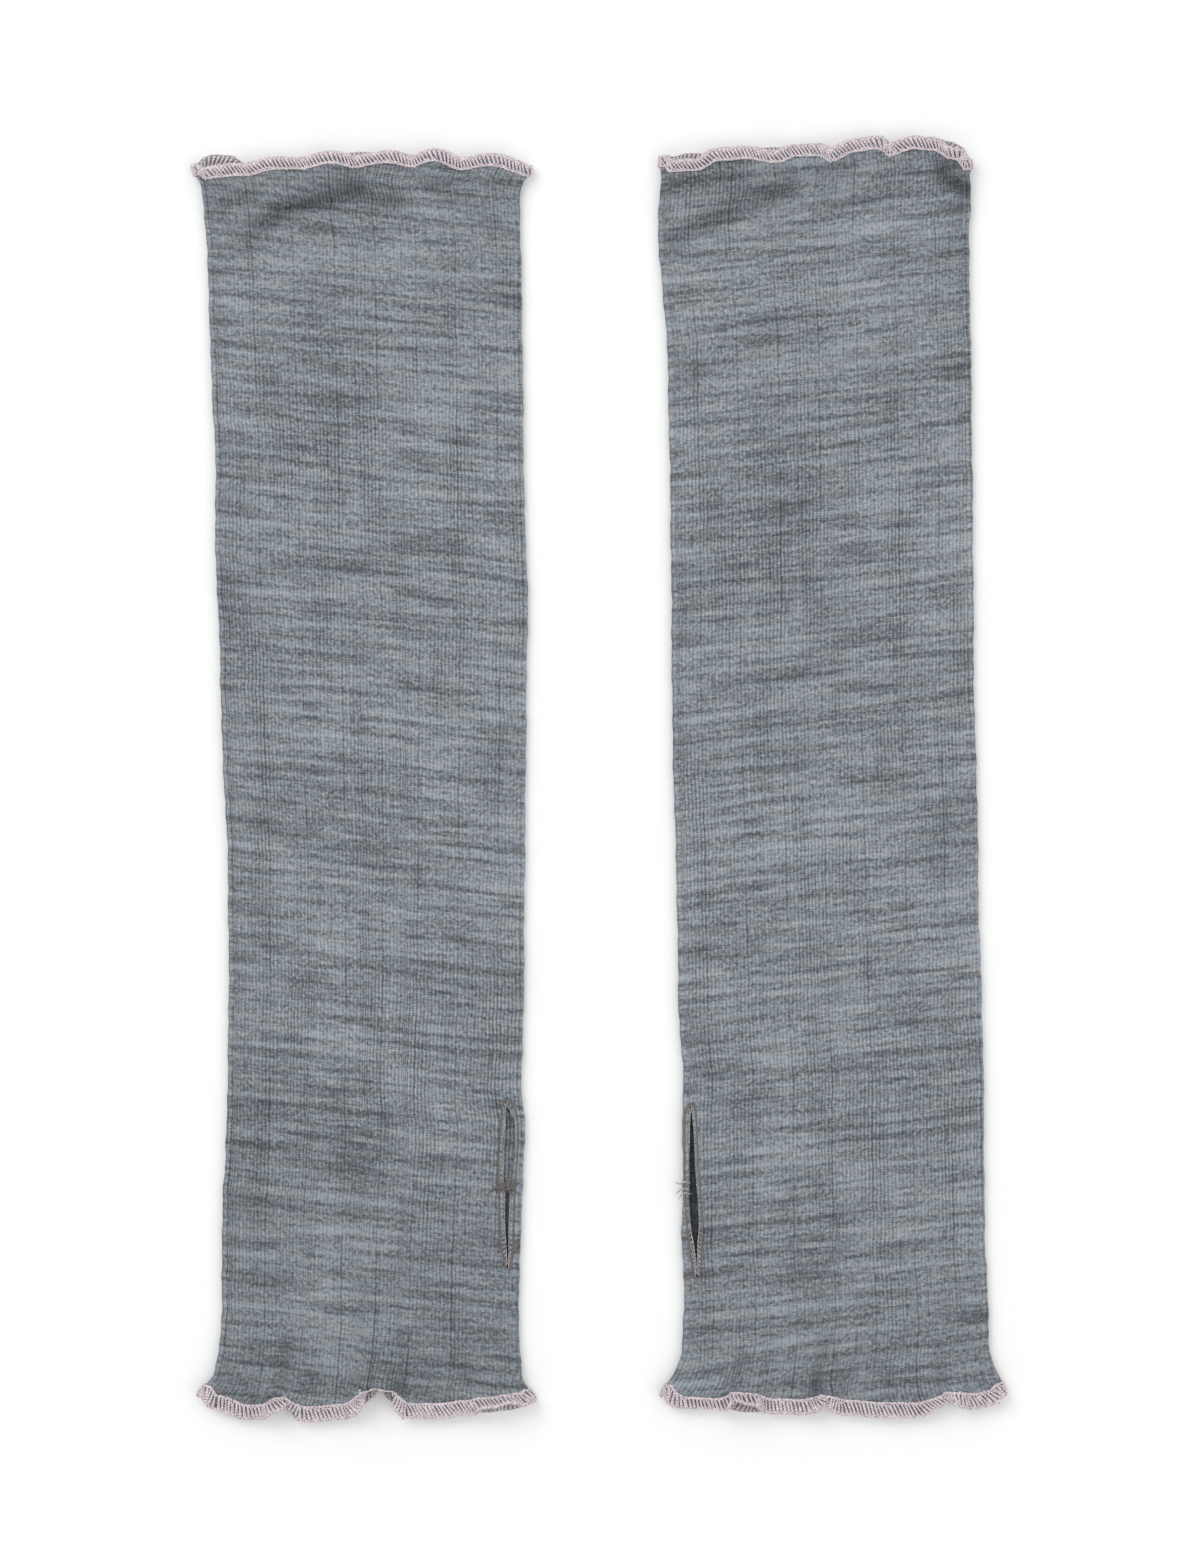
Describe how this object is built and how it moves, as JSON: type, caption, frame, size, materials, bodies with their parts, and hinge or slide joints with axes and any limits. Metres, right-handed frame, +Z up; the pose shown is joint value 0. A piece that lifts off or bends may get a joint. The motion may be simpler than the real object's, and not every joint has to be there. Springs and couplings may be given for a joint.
{
  "type": "pair of wrist warmers",
  "caption": "Pair of long fingerless knitted wrist warmers laid flat side by side, with frilled overlocked ends and a stitched thumb slit beside the inner fold of each.",
  "frame": {"origin": "on the surface that the pair lies on, at the middle of the pair's outline seen from above", "axes": "+Y along the warmers towards the arm ends, -Y towards the hand ends with the thumb slits, +X to the wearer's right-hand piece in the layout, +Z up from the surface"},
  "size_m": [0.2577, 0.4048, 0.0101],
  "materials": {
    "knit": "fine grey melange rib knit, matt, slightly fuzzy",
    "edging_thread": "pale pink overlock thread with a soft sheen",
    "thumb_thread": "taupe overlock thread, matt"
  },
  "bodies": {
    "root": {"left_tube_upper": "knit", "left_tube_under": "knit", "left_arm_edging_upper": "edging_thread", "left_arm_edging_under": "edging_thread", "left_hand_edging_upper": "edging_thread", "left_hand_edging_under": "edging_thread", "left_thumb_edging": "thumb_thread", "right_tube_upper": "knit", "right_tube_under": "knit", "right_arm_edging_upper": "edging_thread", "right_arm_edging_under": "edging_thread", "right_hand_edging_upper": "edging_thread", "right_hand_edging_under": "edging_thread", "right_thumb_edging": "thumb_thread"}
  },
  "joints": []
}
